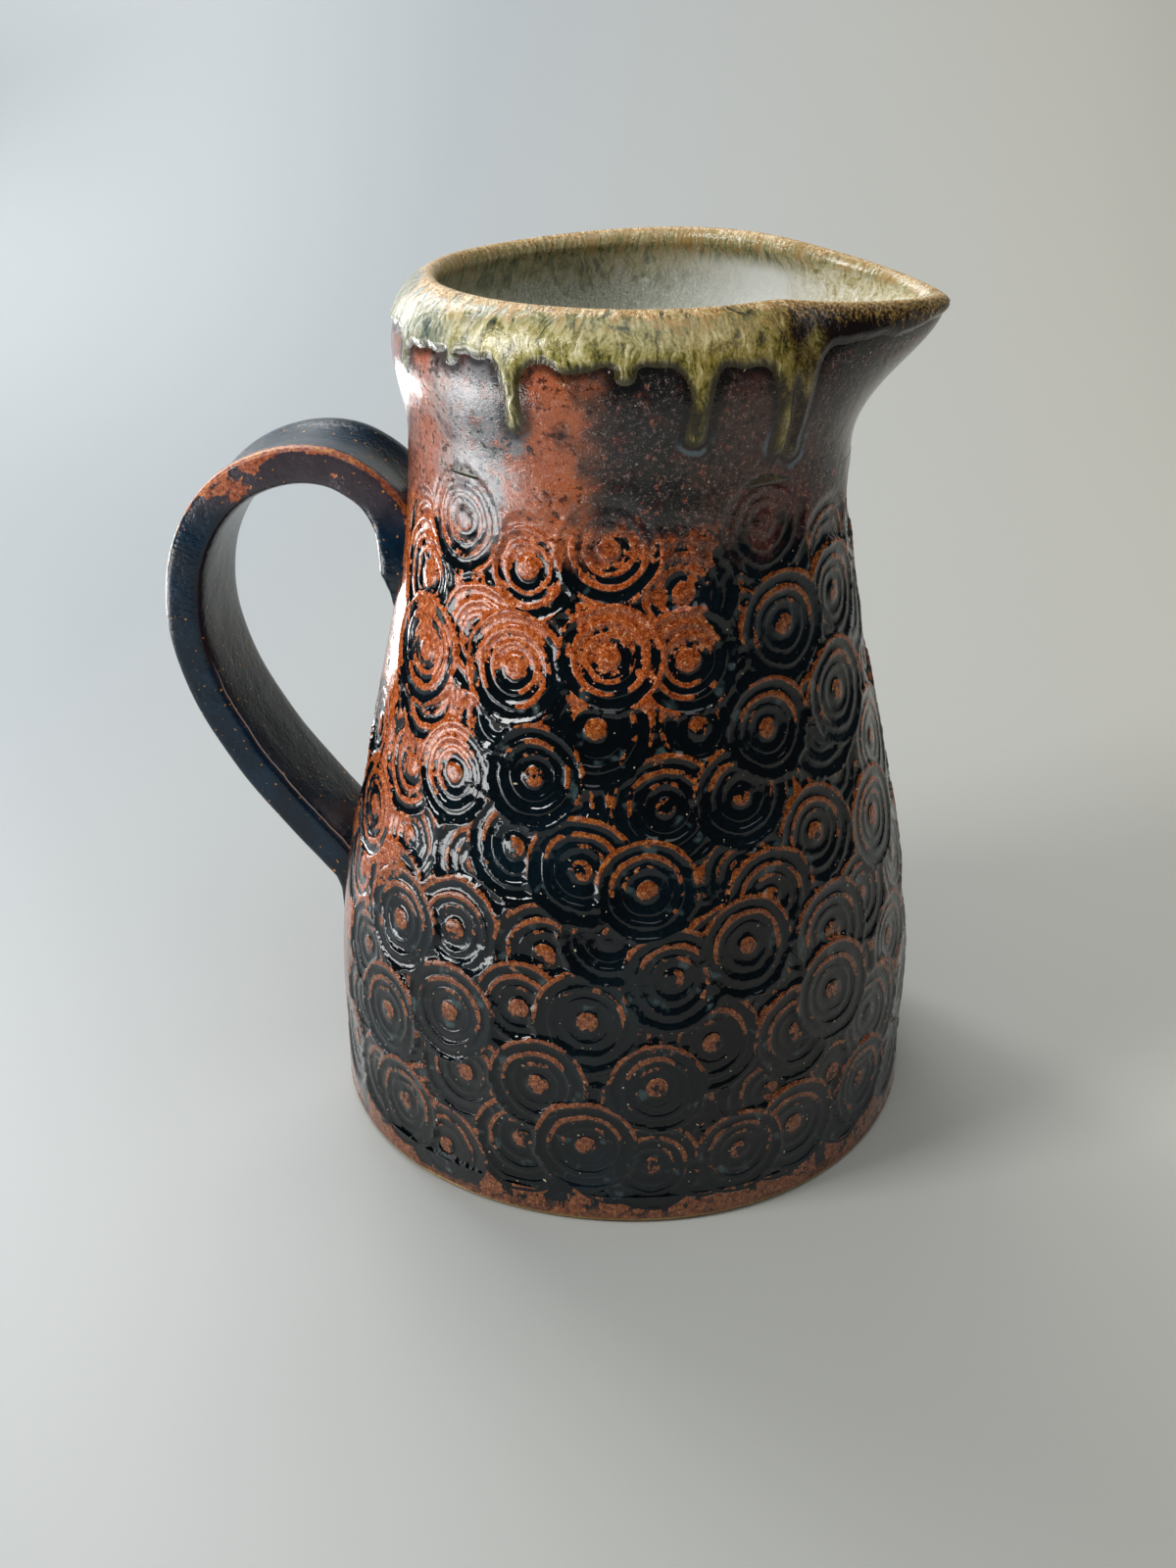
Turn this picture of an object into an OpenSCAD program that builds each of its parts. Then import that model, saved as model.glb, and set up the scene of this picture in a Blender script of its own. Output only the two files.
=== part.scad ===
// A stoneware pitcher, built from the members that a potter joins: a round floor slab, a cone
// of wall stamped all over with rings, a collar, a rolled rim, a pouring spout and a strap
// handle, with a liner glaze inside and a thick glaze over the rim that has run in tears.
// It stands on z = 0 with the body's axis on Z. The spout points along +X, the handle along -X.

/* [Body] */
// Diameter of the foot
foot_d = 143; // [134:1:152]
// Height of the rim over the handle
jug_h = 200; // [194:1:208]
// Height of the upright skirt above the foot, where the taper starts
skirt_h = 28; // [22:1:40]
// Thickness of the clay wall
wall = 6; // [4.5:0.5:7.5]
// Thickness of the floor slab
floor_t = 7; // [5:0.5:9]
// Worn edge round the underside of the floor slab
foot_edge = 1.2; // [0.5:0.1:2.5]
// Size of the coil of clay smoothed into the corner inside the foot
seam_coil_r = 7; // [4:0.5:9]

/* [Ring prints] */
// Diameter of the round stamp pressed into the wall
print_d = 17.8; // [14:0.2:18.4]
// Depth of the ring grooves that it leaves
print_depth = 1.1; // [0.6:0.1:1.6]
// Distance between the middles of two prints in a row
print_pitch = 21; // [20:0.5:30]
// Distance between two rows of prints
print_rise = 16.4; // [16:0.2:24]
// Height of the lowest row
print_foot = 18; // [17:0.5:24]

/* [Neck and rim] */
// Diameter of the waist, the narrowest place of the outside
waist_d = 98.6; // [94:0.2:101]
// Distance from the rim down to the waist
waist_drop = 32; // [28:1:38]
// Diameter of the shoulder, where the rim starts to roll inward
shoulder_d = 104; // [102:0.5:108]
// Diameter of the mouth, inside the rolled rim
mouth_d = 84.8; // [80:0.2:88]
// Height of the rolled rim
rim_h = 14; // [11:0.5:17]
// Height of the collar between the wall and the rolled rim
collar_h = 22; // [20:0.5:26]
// Thickness of the rounded lip
lip_t = 3; // [2:0.25:4]
// Extra height of the rim at its highest place
lip_wave = 2.5; // [0:0.25:4]

/* [Spout] */
// Distance from the axis to the tip of the spout
spout_reach = 67; // [60:0.5:74]
// Distance that the tip lies below the rim
spout_drop = 4.2; // [1:0.2:8]
// Angle from the middle of the spout to each throat, where it leaves the round rim
throat_angle = 41; // [34:1:44]

/* [Handle] */
// Width of the strap
strap_w = 28; // [22:0.5:34]
// Thickness of the strap
strap_t = 9.8; // [7.4:0.2:11]
// Depth of the trough along the outer face of the strap
trough_depth = 1.6; // [0.5:0.1:2.5]
// Clear space between the wall and the strap at its widest
finger_gap = 43.4; // [37:0.2:50]
// Distance from the rim down to where the strap stands off the wall
handle_drop = 64; // [60:1:70]
// Rise of the strap from there to its highest place
handle_rise = 22.2; // [19:0.2:26]
// Distance from where it stands off the wall down to where it reaches furthest out
handle_out_drop = 15; // [8:1:22]
// Length of the clay smeared down the wall under the upper joint
smear_len = 13; // [9:1:18]
// Height at which the strap comes back to the wall
handle_low_h = 58; // [52:1:64]
// Length of the thumbed tail below the strap
tail_len = 19; // [14:1:24]

/* [Glaze] */
// Thickness of the liner glaze inside the jug
liner_t = 0.5; // [0.3:0.1:0.8]
// Thickness of the pale glaze over the rim
rim_glaze_t = 0.6; // [0.4:0.1:1]
// Distance from the rim down to the lower edge of the pale glaze
band_drop = 9; // [7.5:0.5:11]
// Width of the scallops in the lower edge of the pale glaze
band_wave = 1.2; // [0:0.1:2]
// Width of the widest glaze tear
tear_w = 9; // [7:0.5:12]
// Thickness of a glaze tear at its swollen end
tear_t = 1.5; // [1:0.1:2.2]
// Length of the longest glaze tear below the edge of the pale glaze
tear_len = 20; // [14:0.5:22]

/* [Hidden] */
$fn = 96;

// Gap left between a coat of glaze and the clay under it
seat_gap = 0.15;
// How far the ends of the handle are pressed into the wall before they are trimmed to it
press_in = 2;

handle_root_h = jug_h - handle_drop;
handle_out_h = handle_root_h - handle_out_drop;

foot_r = foot_d / 2;
waist_r = waist_d / 2;
shoulder_r = shoulder_d / 2;
mouth_r = mouth_d / 2;
shoulder_z = jug_h - rim_h;
collar_z = shoulder_z - collar_h;
waist_z = jug_h - waist_drop;
tip_z = jug_h - spout_drop;

// The spout's piece is a little wider than the angle between its throats
throat_margin = 5;
spout_side = throat_angle + throat_margin;
spout_steps = 24;
rim_steps = 50;
wall_steps = 9;
collar_steps = 6;
roll_steps = 6;

function smooth(t) = let (c = max(0, min(1, t))) c * c * (3 - 2 * c);
function blend(a, b, share) = a + (b - a) * share;

// The outside of the wall and collar: an upright skirt, a taper to the waist, and the shoulder
function taper_r(z) = blend(foot_r, waist_r, smooth((z - skirt_h) / (waist_z - skirt_h)));
function swell_r(z) = blend(waist_r, shoulder_r, smooth((z - waist_z) / (shoulder_z - waist_z)));
function wall_r(z) = z < waist_z ? taper_r(z) : swell_r(z);

function wall_level(i) = blend(floor_t, collar_z, i / wall_steps);
function collar_level(i) = blend(collar_z, shoulder_z, i / collar_steps);

// Angles of the sections through the spout, closer together towards its tip
function spout_angle(k) = let (x = 2 * k / spout_steps - 1) spout_side * x * (1 + abs(x)) / 2;
function rim_angle(k) = blend(spout_side, 360 - spout_side, k / rim_steps);

// How far the rim is drawn out towards the spout at an angle: 0 on the round rim, 1 at the tip.
// The sides of the spout run straight, with a small bend at each throat and at the tip.
// The side where the rim rises is the fuller one.
bend_share = 0.05;
full_share = 0.06;
function turned(angle) = let (h = abs(angle) / throat_angle)
    (sqrt(h * h + bend_share * bend_share) - bend_share)
    / (sqrt(1 + bend_share * bend_share) - bend_share);
function pulled(angle) = let (x = 1 - turned(angle))
    (x + sqrt(x * x + bend_share * bend_share)) / 2;
function drawn(angle) = abs(angle) >= spout_side ? 0
    : (pulled(angle) - pulled(spout_side) * pow(angle / spout_side, 2)) / pulled(0)
    + full_share * max(0, sin(180 * angle / spout_side));

// The rim is not level: it rises on one side between the spout and the handle
wave_angle = 60;
function rim_wave(angle) = lip_wave * pow(max(0, cos(angle - wave_angle)), 2);

// The rolled rim in section, as [radius, height], from the shoulder up and over to the mouth
roll_angle = 74;
function roll_out(i) = let (a = roll_angle * i / roll_steps)
    [blend(mouth_r, shoulder_r, cos(a)), shoulder_z + rim_h * sin(a)];
function roll_in(i) = let (s = i / roll_steps)
    [blend(shoulder_r - wall, mouth_r, s * s), blend(shoulder_z, jug_h - lip_t / 2, s)];
lip_crown = [mouth_r + lip_t / 3, jug_h];

// The spout in section at its middle: its underside sweeps out to the tip
sweep_share = 1.25;
function spout_r(s) = blend(waist_r, spout_reach, smooth(pow(s, sweep_share)));
function spout_out(s) = [spout_r(s), blend(collar_z, tip_z, s)];
spout_slope_step = 0.01;
function spout_in(s) = let (
    lower = spout_out(max(0, s - spout_slope_step)),
    upper = spout_out(min(1, s + spout_slope_step)),
    along = (upper - lower) / norm(upper - lower),
    t = blend(wall, lip_t, s))
    spout_out(s) + t * [-along[1], along[0]];

section_steps = collar_steps + roll_steps;
// The outer and inner faces of the round rim and collar, counted from the collar's foot
function round_out(i) = i <= collar_steps
    ? [wall_r(collar_level(i)), collar_level(i)]
    : roll_out(i - collar_steps);
function round_in(i) = i <= collar_steps
    ? [wall_r(collar_level(i)) - wall, collar_level(i)]
    : roll_in(i - collar_steps);

// Lifts what is above the shoulder to the height of the rim at an angle
function lifted(p, angle) = p[1] <= shoulder_z ? p
    : [p[0], shoulder_z + (p[1] - shoulder_z) * (rim_h + rim_wave(angle)) / rim_h];

// Any section of rim and spout is a blend of the round one and the one through the tip
function face_out(i, angle) = let (w = drawn(angle))
    blend(lifted(round_out(i), angle), spout_out(i / section_steps), w);
function face_in(i, angle) = let (w = drawn(angle))
    blend(lifted(round_in(i), angle), i == 0 ? round_in(0) : spout_in(i / section_steps), w);
function crown(angle) = let (w = drawn(angle))
    blend(lifted(lip_crown, angle), spout_out(1) + [-lip_t / 2, lip_t / 4], w);

function rim_section(angle, from) = concat(
    [for (i = [from : section_steps]) face_out(i, angle)],
    [crown(angle)],
    [for (i = [section_steps : -1 : from]) face_in(i, angle)]);

function placed(p, angle) = [p[0] * cos(angle), p[0] * sin(angle), p[1]];

// Triangles across a flat end ring of n points, in a zigzag between its two long sides
function cap_faces(n) = [for (i = [0 : floor(n / 2) - 1], half = [0, 1])
    let (j = n - 1 - i)
    if (i + 1 < j - half) half == 0 ? [i, i + 1, j] : [i + 1, j - 1, j]];

// Skins a list of rings, each a list of as many points, into a solid closed at both ends
module skin(rings) {
    n = len(rings[0]);
    last = len(rings) - 1;
    polyhedron(
        points = [for (ring = rings, p = ring) p],
        faces = concat(
            [for (k = [0 : last - 1], i = [0 : n - 1], half = [0, 1])
                let (j = (i + 1) % n, here = k * n, next = (k + 1) * n)
                half == 0 ? [here + i, here + j, next + j] : [here + i, next + j, next + i]],
            [for (f = cap_faces(n)) [f[2], f[1], f[0]]],
            [for (f = cap_faces(n)) [for (i = f) last * n + i]]));
}

// Skins a list of rings into a closed loop
module loop_skin(rings) {
    n = len(rings[0]);
    count = len(rings);
    polyhedron(
        points = [for (ring = rings, p = ring) p],
        faces = [for (k = [0 : count - 1], i = [0 : n - 1], half = [0, 1])
            let (j = (i + 1) % n, next = (k + 1) % count)
            half == 0 ? [k * n + i, k * n + j, next * n + j]
                      : [k * n + i, next * n + j, next * n + i]]);
}

// The solid that the outside of wall, collar and round rim encloses, for trimming what joins it
module wall_envelope() {
    rotate_extrude()
        polygon(concat(
            [[0, floor_t], [wall_r(floor_t), floor_t]],
            [for (i = [1 : wall_steps]) [wall_r(wall_level(i)), wall_level(i)]],
            [for (i = [1 : section_steps]) round_out(i)],
            [[0, round_out(section_steps)[1]]]));
}

module base_slab() {
    color("tan")
        rotate_extrude()
            polygon([[0, 0], [foot_r - foot_edge, 0], [foot_r, foot_edge],
                     [wall_r(floor_t), floor_t], [0, floor_t]]);
}

// The stamp leaves two ring grooves round a boss, as [inner, outer] shares of its radius. It is
// pressed square to the wall, and its grooves are cut out to a little above the clay.
groove_shares = [[0.3, 0.55], [0.7, 1]];
print_sides = 24;
print_clear = 1;
module ring_print() {
    print_r = print_d / 2;
    for (g = groove_shares)
        rotate_extrude($fn = print_sides)
            translate([g[0] * print_r, -print_depth])
                square([(g[1] - g[0]) * print_r, print_depth + print_clear]);
}

// Rows of prints climb the wall, each row half a pitch on from the last and none quite in line
row_count = floor((collar_z - print_d / 2 - print_foot) / print_rise) + 1;
stray_share = 0.05;
slope_step = 1;
function row_z(k) = print_foot + k * print_rise;
function prints_in_row(k) = floor(2 * PI * wall_r(row_z(k)) / print_pitch);
function print_z(k, i) = row_z(k) + stray_share * print_rise * sin(61 * i + 17 * k);
function print_angle(k, i) =
    360 * (i + (k % 2) / 2 + stray_share * sin(97 * i + 31 * k)) / prints_in_row(k);
function wall_lean(z) = atan((wall_r(z + slope_step) - wall_r(z - slope_step)) / (2 * slope_step));

// The potter works the handle's joints into the wall, and that clay has no prints
function on_joint(z, angle) = let (
    print_r = print_d / 2,
    sideways = abs(angle - 180) * PI / 180 * wall_r(z),
    upper_z = handle_root_h - smear_len - print_r,
    lower_z = handle_low_h - tail_len - print_r,
    lower_top_z = handle_low_h + strap_t + print_r)
    sideways < strap_w * root_wide_share / 2 + print_r
    && (z > upper_z || (z > lower_z && z < lower_top_z));

module body_wall() {
    color("saddlebrown")
        difference() {
            rotate_extrude()
                polygon(concat(
                    [for (i = [0 : wall_steps]) [wall_r(wall_level(i)), wall_level(i)]],
                    [for (i = [wall_steps : -1 : 0]) [wall_r(wall_level(i)) - wall, wall_level(i)]]));
            for (k = [0 : row_count - 1], i = [0 : prints_in_row(k) - 1])
                let (z = print_z(k, i), angle = print_angle(k, i))
                    if (!on_joint(z, angle))
                        rotate(angle)
                            translate([wall_r(z), 0, z])
                                rotate([0, 90 + wall_lean(z), 0])
                                    ring_print();
        }
}

// The coil fills the inner corner of floor and wall with a hollow curve
coil_steps = 5;
function coil_way(i) = [cos(90 * i / coil_steps), -sin(90 * i / coil_steps)];
module seam_coil() {
    corner_r = wall_r(floor_t) - wall;
    bend = [corner_r - seam_coil_r, floor_t + seam_coil_r];
    color("peru")
        rotate_extrude()
            polygon(concat(
                [[corner_r, floor_t]],
                [for (i = [0 : coil_steps]) bend + seam_coil_r * coil_way(i)]));
}

module neck_collar() {
    color("sienna")
        rotate(spout_side)
            rotate_extrude(angle = 360 - 2 * spout_side)
                polygon(concat(
                    [for (i = [0 : collar_steps]) round_out(i)],
                    [for (i = [collar_steps : -1 : 0]) round_in(i)]));
}

module rolled_rim() {
    color("darkkhaki")
        skin([for (k = [0 : rim_steps])
            let (angle = rim_angle(k))
            [for (p = rim_section(angle, collar_steps)) placed(p, angle)]]);
}

module spout_body() {
    skin([for (k = [0 : spout_steps])
        let (angle = spout_angle(k))
        [for (p = rim_section(angle, 0)) placed(p, angle)]]);
}

module spout() {
    color("olive")
        spout_body();
}

// The middle line of the strap, as [distance from the axis, height], behind the jug. It leaves
// the wall upward, turns over its top, comes round its widest point and leans back to the wall.
top_share = 0.4;
strap_lean = 38;
tail_inset_share = 0.3;
root_point = [wall_r(handle_root_h) - press_in, handle_root_h];
out_point = [wall_r(handle_out_h) + finger_gap + strap_t / 2, handle_out_h];
top_point = [blend(root_point[0], out_point[0], top_share), handle_root_h + handle_rise];
low_point = [wall_r(handle_low_h) + press_in / 2, handle_low_h];
tail_point = [wall_r(handle_low_h - tail_len) - strap_t * tail_inset_share, handle_low_h - tail_len];
lean_way = [sin(strap_lean), cos(strap_lean)];

function bezier(p, t) = pow(1 - t, 3) * p[0] + 3 * t * pow(1 - t, 2) * p[1]
    + 3 * t * t * (1 - t) * p[2] + pow(t, 3) * p[3];
function bezier_way(p, t) = let (
    way = pow(1 - t, 2) * (p[1] - p[0]) + 2 * t * (1 - t) * (p[2] - p[1]) + t * t * (p[3] - p[2]))
    way / norm(way);

// How far each curve's inner points stand from its ends, as shares of the stretch they shape
rise_share = 0.62;
turn_share = 0.5;
round_shares = [0.55, 0.6];
drop_share = 0.42;
return_share = 0.27;
thumb_share = 0.4;
rise_curve = [
    root_point,
    root_point + [0, rise_share * handle_rise],
    top_point - [turn_share * (top_point[0] - root_point[0]), 0],
    top_point];
round_curve = [
    top_point,
    top_point + [round_shares[0] * (out_point[0] - top_point[0]), 0],
    out_point + [0, round_shares[1] * (top_point[1] - out_point[1])],
    out_point];
drop_curve = [
    out_point,
    out_point - [0, drop_share * (out_point[1] - low_point[1])],
    low_point + return_share * norm(out_point - low_point) * lean_way,
    low_point];
tail_curve = [
    low_point,
    low_point - thumb_share * tail_len * lean_way,
    tail_point + [0, thumb_share * tail_len],
    tail_point];

// One section of the strap round a point of its middle line. The outer face has a trough, the
// edges are rounded and the inner face bulges a little.
edge_share = 0.22;
belly_share = 0.07;
trough_shares = [-1, -0.68, -0.34, 0, 0.34, 0.68, 1];
belly_shares = [1, 0.5, 0, -0.5, -1];
function strap_outline(w, t, trough) = let (
    edge = t * edge_share,
    flat = w / 2 - edge,
    belly = t * belly_share,
    bevel = edge * (1 - cos(45)))
    concat(
        [for (y = trough_shares) [y * flat, t / 2 - trough * (1 + cos(180 * y)) / 2]],
        [[w / 2 - bevel, t / 2 - bevel], [w / 2, t / 2 - edge]],
        [[w / 2, edge - t / 2 + belly], [w / 2 - bevel, bevel - t / 2 + belly]],
        [for (y = belly_shares) [y * flat, belly * y * y - t / 2]],
        [[bevel - w / 2, bevel - t / 2 + belly], [-w / 2, edge - t / 2 + belly]],
        [[-w / 2, t / 2 - edge], [bevel - w / 2, t / 2 - bevel]]);
function strap_ring(curve, t, wide, thick, trough) = let (
    middle = bezier(curve, t),
    way = bezier_way(curve, t))
    [for (q = strap_outline(wide, thick, trough)) let (
        s = middle[0] - q[1] * way[1],
        z = middle[1] + q[1] * way[0])
        [-s, -q[0], z]];

// Where the worked-in clay of each joint gives way to the plain strap
rise_end_share = 0.5;
drop_end_share = 0.86;
joint_steps = 6;
top_steps = 4;
round_steps = 9;
drop_steps = 10;
tail_steps = 5;

function plain_ring(curve, t) = strap_ring(curve, t, strap_w, strap_t, trough_depth);

module handle_strap() {
    color("darkslategray")
        skin(concat(
            [for (k = [0 : top_steps]) plain_ring(rise_curve, blend(rise_end_share, 1, k / top_steps))],
            [for (k = [1 : round_steps]) plain_ring(round_curve, k / round_steps)],
            [for (k = [1 : drop_steps]) plain_ring(drop_curve, drop_end_share * k / drop_steps)]));
}

// The upper joint starts as clay smeared thin on the wall, and flares from there into the strap
root_thick_share = 1.2;
root_wide_share = 1.2;
smear_steps = 4;
smear_thick_share = 0.35;
smear_wide_share = 0.85;
smear_sink_share = 0.3;
smear_curve = let (
    foot_z = handle_root_h - smear_len,
    foot_point = [wall_r(foot_z) - smear_sink_share * strap_t, foot_z])
    [foot_point,
     foot_point + [0, smear_len / 3],
     root_point - [0, smear_len / 3],
     root_point];
module handle_upper_joint() {
    color("maroon")
        difference() {
            skin(concat(
                [for (k = [0 : smear_steps - 1]) let (c = smooth(k / smear_steps))
                    strap_ring(smear_curve, k / smear_steps,
                        strap_w * blend(smear_wide_share, root_wide_share, c),
                        strap_t * blend(smear_thick_share, root_thick_share, c),
                        0)],
                [for (k = [0 : joint_steps]) let (c = smooth(k / joint_steps))
                    strap_ring(rise_curve, rise_end_share * k / joint_steps,
                        strap_w * blend(root_wide_share, 1, c),
                        strap_t * blend(root_thick_share, 1, c),
                        trough_depth * c)]));
            wall_envelope();
        }
}

// The lower joint is pressed down the wall with the thumb, and thins out to nothing. Its trough
// turns into a crown, as round as the wall that it runs out on.
tail_thick_share = 0.5;
tail_wide_share = 0.8;
tail_crown_share = -1;
module handle_lower_joint() {
    color("maroon")
        difference() {
            skin(concat(
                [for (k = [0 : 2]) plain_ring(drop_curve, blend(drop_end_share, 1, k / 2))],
                [for (k = [1 : tail_steps]) let (c = k / tail_steps)
                    strap_ring(tail_curve, c,
                        strap_w * blend(1, tail_wide_share, c),
                        strap_t * blend(1, tail_thick_share, c),
                        trough_depth * blend(1, tail_crown_share, c))]));
            wall_envelope();
        }
}

// The liner glaze coats the floor, the coil and the inside of the wall
module liner_glaze() {
    corner_r = wall_r(floor_t) - wall;
    coil_top = floor_t + seam_coil_r;
    bend = [corner_r - seam_coil_r, coil_top];
    levels = [for (i = [0 : wall_steps]) if (wall_level(i) > coil_top + liner_t) wall_level(i)];
    color("lightslategray")
        rotate_extrude()
            polygon(concat(
                [[0, floor_t]],
                [for (i = [coil_steps : -1 : 0]) bend + seam_coil_r * coil_way(i)],
                [for (z = levels) [wall_r(z) - wall, z]],
                [for (k = [len(levels) - 1 : -1 : 0]) [wall_r(levels[k]) - wall - liner_t, levels[k]]],
                [for (i = [0 : coil_steps]) bend + (seam_coil_r - liner_t) * coil_way(i)],
                [[0, floor_t + liner_t]]));
}

// The rim glaze starts outside at a scalloped edge, covers the lip and ends inside the collar.
// Its edge rises towards the tip of the spout, whose underside stays dark.
scallop_count = 15;
tip_edge_share = 0.92;
coat_steps = 5;
coat_inner_indices = [12, 10, 8, 6, 5, 4, 3, 2, 1, 0];
function edge_z(angle) = jug_h - band_drop + band_wave * (sin(scallop_count * angle) + 1) / 2;
function roll_share(z) = max(0, z - shoulder_z) / rim_h;
function index_at(z) = z > shoulder_z
    ? collar_steps + roll_steps * asin(roll_share(z)) / roll_angle
    : collar_steps * (z - collar_z) / collar_h;
function edge_index(angle) =
    blend(index_at(edge_z(angle)), section_steps * tip_edge_share, drawn(angle));
function between(i, angle) = let (k = min(floor(i), section_steps - 1))
    blend(face_out(k, angle), face_out(k + 1, angle), i - k);
function coat_path(angle) = concat(
    [for (k = [0 : coat_steps])
        between(blend(edge_index(angle), section_steps, k / coat_steps), angle)],
    [crown(angle)],
    [for (i = coat_inner_indices) face_in(i, angle)]);
// Moves a path sideways, out of the clay
function moved(path, d) = let (last = len(path) - 1)
    [for (k = [0 : last]) let (
        way = path[min(last, k + 1)] - path[max(0, k - 1)])
        path[k] + d * [way[1], -way[0]] / norm(way)];
function coat_section(angle) = let (path = coat_path(angle), last = len(path) - 1)
    concat(
        moved(path, seat_gap + rim_glaze_t),
        [for (k = [last : -1 : 0]) moved(path, seat_gap)[k]]);

// A tear of glaze hangs down the wall: a flat drop, widest and thickest near its end
tear_angles = [-110, -68, -43];
tear_size_shares = [0.66, 0.75, 1];
tear_rings = 10;
tear_sides = 14;
tear_point_share = 0.05;
tear_neck_share = 0.7;
tear_bluntness = 6;
// How full the tear is at a share of its length, down to its rounded point
function tear_swell(c) = max(tear_point_share, sqrt(1 - pow(c, tear_bluntness)));
function clay_r(z) = z < shoulder_z ? wall_r(z)
    : blend(mouth_r, shoulder_r, sqrt(1 - pow(roll_share(z), 2)));
module glaze_tear(angle, share) {
    top_z = edge_z(angle) + band_wave;
    drop = tear_len * share + band_wave;
    half = tear_w / 2 * share;
    rotate(angle)
        skin([for (k = [0 : tear_rings]) let (
            c = k / tear_rings,
            z = top_z - drop * c,
            wide = half * tear_swell(c) * blend(1, tear_neck_share, sin(180 * c)),
            out = blend(rim_glaze_t, tear_t, c) * tear_swell(c))
            [for (i = [0 : tear_sides - 1]) let (a = 360 * i / tear_sides)
                [clay_r(z) + (seat_gap + out) * cos(a), wide * sin(a), z]]]);
}

module rim_glaze() {
    color("yellowgreen")
        union() {
            loop_skin([for (angle = concat(
                [for (k = [0 : spout_steps]) spout_angle(k)],
                [for (k = [1 : rim_steps - 1]) rim_angle(k)]))
                [for (p = coat_section(angle)) placed(p, angle)]]);
            difference() {
                for (k = [0 : len(tear_angles) - 1])
                    glaze_tear(tear_angles[k], tear_size_shares[k]);
                wall_envelope();
                spout_body();
            }
        }
}

base_slab();
body_wall();
seam_coil();
neck_collar();
rolled_rim();
spout();
handle_strap();
handle_upper_joint();
handle_lower_joint();
liner_glaze();
rim_glaze();
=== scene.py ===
import math

import bpy
import mathutils
import numpy as np
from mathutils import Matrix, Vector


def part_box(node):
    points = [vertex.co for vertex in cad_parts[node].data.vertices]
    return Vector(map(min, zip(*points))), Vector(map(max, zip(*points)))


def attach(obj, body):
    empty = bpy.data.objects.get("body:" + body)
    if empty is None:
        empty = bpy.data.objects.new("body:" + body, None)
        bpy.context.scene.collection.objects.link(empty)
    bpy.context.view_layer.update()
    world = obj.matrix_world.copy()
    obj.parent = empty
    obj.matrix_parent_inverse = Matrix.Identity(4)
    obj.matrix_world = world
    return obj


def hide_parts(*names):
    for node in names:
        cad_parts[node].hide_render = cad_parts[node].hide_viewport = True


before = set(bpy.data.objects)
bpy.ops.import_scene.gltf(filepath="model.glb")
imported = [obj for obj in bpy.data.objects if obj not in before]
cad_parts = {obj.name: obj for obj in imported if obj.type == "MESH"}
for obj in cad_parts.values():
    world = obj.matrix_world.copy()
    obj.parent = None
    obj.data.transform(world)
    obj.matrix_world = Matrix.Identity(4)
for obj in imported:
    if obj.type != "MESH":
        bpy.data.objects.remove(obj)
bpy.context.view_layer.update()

# A hand-built stoneware pitcher: a stamped, slightly tapering wall with a drawn spout and a strap
# handle, in a dark iron glaze that breaks to rust, with a pale ash glaze run over its rim.
# Lengths are in mm and angles in degrees round the jug from the spout, until a mesh is made.
mm = 0.001
scene = bpy.context.scene
scene.view_settings.view_transform = "Standard"


# The view: a little above the rim, from the side, with the handle on the left.
camera_place = (44.3, -381.4, 268.7)
view_down = 26.5
view_turn = 8.0
focal_length_px = 1776
picture_height_px = 1600
camera = bpy.data.objects.new("camera", bpy.data.cameras.new("camera"))
camera.data.sensor_width = 36
camera.data.lens = 36 * focal_length_px / picture_height_px
camera.data.clip_start = 0.01
camera.location = [c * mm for c in camera_place]
camera.rotation_euler = (math.radians(90 - view_down), 0, math.radians(view_turn))
scene.collection.objects.link(camera)
scene.camera = camera


# The ground: a wide sheet of pale grey paper that curves up far behind the jug. It isn't part of
# the jug.
def paint(code, opacity=1.0):
    """A colour written as six hexadecimal digits, as the linear values that a shader takes."""
    parts = [int(code[i:i + 2], 16) / 255 for i in (0, 2, 4)]
    return [p / 12.92 if p <= 0.04045 else ((p + 0.055) / 1.055) ** 2.4 for p in parts] + [opacity]


def mesh_from_grid(name, grid, round_rows=True, round_section=True):
    """A mesh from a grid of points in mm, one row of points for each step round the jug."""
    rows, columns = grid.shape[:2]
    here = np.arange(rows * columns).reshape(rows, columns)
    if round_rows:
        here = np.vstack([here, here[:1]])
    if round_section:
        here = np.hstack([here, here[:, :1]])
    quads = np.stack([here[:-1, :-1], here[1:, :-1], here[1:, 1:], here[:-1, 1:]], axis=-1)
    mesh = bpy.data.meshes.new(name)
    mesh.from_pydata((grid.reshape(-1, 3) * mm).tolist(), [], quads.reshape(-1, 4).tolist())
    mesh.shade_smooth()
    return mesh


def turned_about_axis(radius, height, angles):
    """Points at a radius and height for each angle; radius and height may vary with the angle."""
    a = np.radians(angles)[:, None]
    radius, height = np.broadcast_arrays(radius, height, np.zeros((len(angles), 1)))[:2]
    return np.stack([radius * np.cos(a), radius * np.sin(a), height], axis=-1)


def add_piece(name, mesh, finish):
    """An object with this mesh and this material, at the origin."""
    piece = bpy.data.objects.new(name, mesh)
    scene.collection.objects.link(piece)
    mesh.materials.append(finish)
    return piece


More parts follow.
